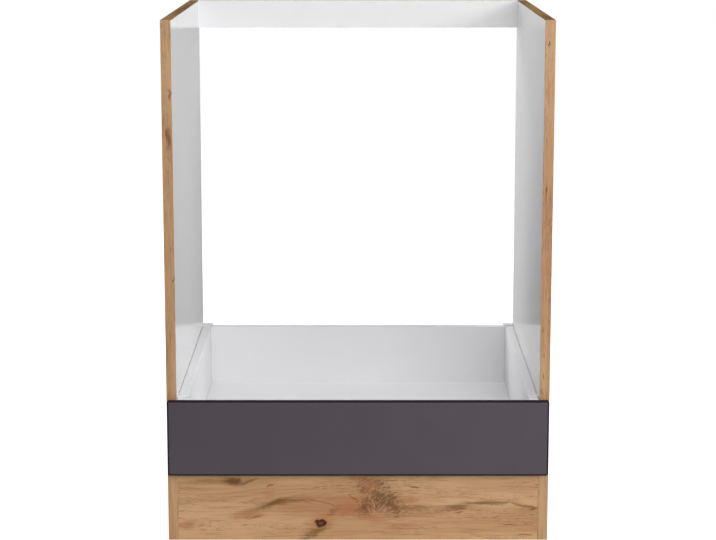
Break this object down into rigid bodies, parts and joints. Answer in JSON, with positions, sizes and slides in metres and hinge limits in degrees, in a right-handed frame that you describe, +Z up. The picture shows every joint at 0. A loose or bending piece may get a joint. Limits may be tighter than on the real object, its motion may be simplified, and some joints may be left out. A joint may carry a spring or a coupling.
{
  "type": "oven housing base unit",
  "caption": "Kitchen base unit with an open see-through niche for a built-under oven, oak-look outside, white inside, and a low handle-less anthracite drawer above the plinth.",
  "frame": {"origin": "on the floor at the centre of the footprint, counting the drawer front", "axes": "+Z up, the front faces -Y, +X to the right as seen from the front"},
  "size_m": [0.6, 0.5874, 0.82],
  "materials": {
    "oak_decor_panel": "oak decor outside, white melamine inside, bare chipboard on the cut edges",
    "oak_edge_band": "oak decor edge band, grain along the edge",
    "oak_decor_plinth": "knotty oak decor, grain across, satin",
    "white_board": "semi-gloss white melamine on chipboard",
    "white_edge_band": "white plastic edge band",
    "beech_dowel": "bare beech",
    "zinc_steel": "zinc-plated steel",
    "cam_zinc": "die-cast zinc",
    "white_steel": "white powder coat",
    "white_nylon": "moulded nylon",
    "anthracite_front": "satin anthracite melamine on chipboard",
    "clear_rubber": "soft clear buffer"
  },
  "bodies": {
    "carcass": {"side_panel_left": "oak_decor_panel", "side_panel_right": "oak_decor_panel", "front_edge_band_left": "oak_edge_band", "front_edge_band_right": "oak_edge_band", "top_edge_band_left": "oak_edge_band", "top_edge_band_right": "oak_edge_band", "bottom_board": "white_board", "plinth_board": "oak_decor_plinth", "rear_top_rail": "white_board", "rail_edge_band": "white_edge_band", "wood_dowels": "beech_dowel", "cam_bolts": "zinc_steel", "cam_locks": "cam_zinc", "oven_support_front_left": "white_steel", "oven_support_front_right": "white_steel", "oven_support_rear_left": "white_steel", "oven_support_rear_right": "white_steel", "cabinet_runner_left": "white_steel", "cabinet_runner_right": "white_steel", "runner_screws": "zinc_steel", "front_roller_pin_left": "zinc_steel", "front_roller_pin_right": "zinc_steel"},
    "drawer": {"drawer_front": "anthracite_front", "bumper_pads": "clear_rubber", "drawer_side_left": "white_steel", "drawer_side_right": "white_steel", "drawer_bottom": "white_board", "drawer_back": "white_board", "drawer_back_edge_band": "white_edge_band", "front_bracket_left": "zinc_steel", "front_bracket_right": "zinc_steel", "back_bracket_left": "zinc_steel", "back_bracket_right": "zinc_steel", "front_bracket_screws": "zinc_steel", "back_bracket_screws": "zinc_steel", "drawer_bottom_screws": "zinc_steel", "rear_roller_pin_left": "zinc_steel", "rear_roller_pin_right": "zinc_steel"},
    "front_wheel_left": {"front_roller_left": "white_nylon"},
    "front_wheel_right": {"front_roller_right": "white_nylon"},
    "rear_wheel_left": {"rear_roller_left": "white_nylon"},
    "rear_wheel_right": {"rear_roller_right": "white_nylon"}
  },
  "joints": [
    {"name": "drawer_slide", "type": "slide", "parent": "carcass", "child": "drawer", "axis": [0, -1, 0], "range_m": [0, 0.42]},
    {"name": "front_roller_left_spin", "type": "hinge", "parent": "carcass", "child": "front_wheel_left", "pos_m": [-0.27785, -0.25925, 0.1368], "axis": [1, 0, 0], "range_deg": [0, 2050]},
    {"name": "front_roller_right_spin", "type": "hinge", "parent": "carcass", "child": "front_wheel_right", "pos_m": [0.27785, -0.25925, 0.1368], "axis": [1, 0, 0], "range_deg": [0, 2050]},
    {"name": "rear_roller_left_spin", "type": "hinge", "parent": "drawer", "child": "rear_wheel_left", "pos_m": [-0.27525, 0.25925, 0.1341], "axis": [1, 0, 0], "range_deg": [0, 2050]},
    {"name": "rear_roller_right_spin", "type": "hinge", "parent": "drawer", "child": "rear_wheel_right", "pos_m": [0.27525, 0.25925, 0.1341], "axis": [1, 0, 0], "range_deg": [0, 2050]}
  ],
  "couplings": [
    {"joint": "front_roller_left_spin", "follows": "drawer_slide", "rad_per_m": 84.746},
    {"joint": "front_roller_right_spin", "follows": "drawer_slide", "rad_per_m": 84.746},
    {"joint": "rear_roller_left_spin", "follows": "drawer_slide", "rad_per_m": 84.746},
    {"joint": "rear_roller_right_spin", "follows": "drawer_slide", "rad_per_m": 84.746}
  ]
}
